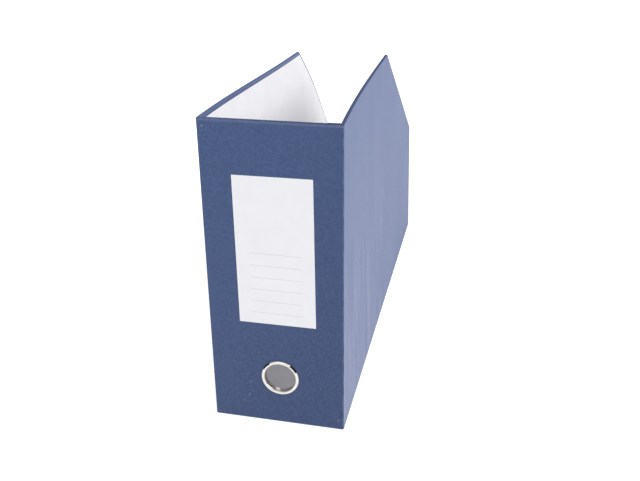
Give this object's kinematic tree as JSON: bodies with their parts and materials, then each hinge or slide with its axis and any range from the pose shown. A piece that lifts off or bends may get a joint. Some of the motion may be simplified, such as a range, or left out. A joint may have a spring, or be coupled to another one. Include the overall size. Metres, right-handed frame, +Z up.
{
  "type": "open-top file box",
  "caption": "Open-top file box of paper-covered board: tall labelled front with a metal finger ring, sides cut down on a slope to a low back.",
  "frame": {"origin": "on the floor, at the middle of the bounding box in X and Y", "axes": "+Z up; the tall front panel with the label and finger ring faces -Y; the low back panel faces +Y; X runs across the box"},
  "size_m": [0.1016, 0.4014, 0.24],
  "materials": {
    "greyboard": "matte",
    "blue_cover_paper": "matte",
    "white_lining_paper": "matte",
    "kraft_tape": "matte",
    "label_paper": "satin",
    "ring_nickel": "polished",
    "washer_nickel": "satin"
  },
  "bodies": {
    "root": {"front_board": "greyboard", "back_board": "greyboard", "base_board": "greyboard", "left_side_board": "greyboard", "right_side_board": "greyboard", "cover_wrap": "blue_cover_paper", "back_cover_sheet": "blue_cover_paper", "base_cover_sheet": "blue_cover_paper", "front_lining": "white_lining_paper", "back_lining": "white_lining_paper", "base_lining": "white_lining_paper", "left_side_lining": "white_lining_paper", "right_side_lining": "white_lining_paper", "front_left_corner_stay": "kraft_tape", "front_right_corner_stay": "kraft_tape", "back_left_corner_stay": "kraft_tape", "back_right_corner_stay": "kraft_tape", "front_base_stay": "kraft_tape", "back_base_stay": "kraft_tape", "left_base_stay": "kraft_tape", "right_base_stay": "kraft_tape", "title_label": "label_paper", "finger_ring": "ring_nickel", "ring_washer": "washer_nickel"}
  },
  "joints": []
}
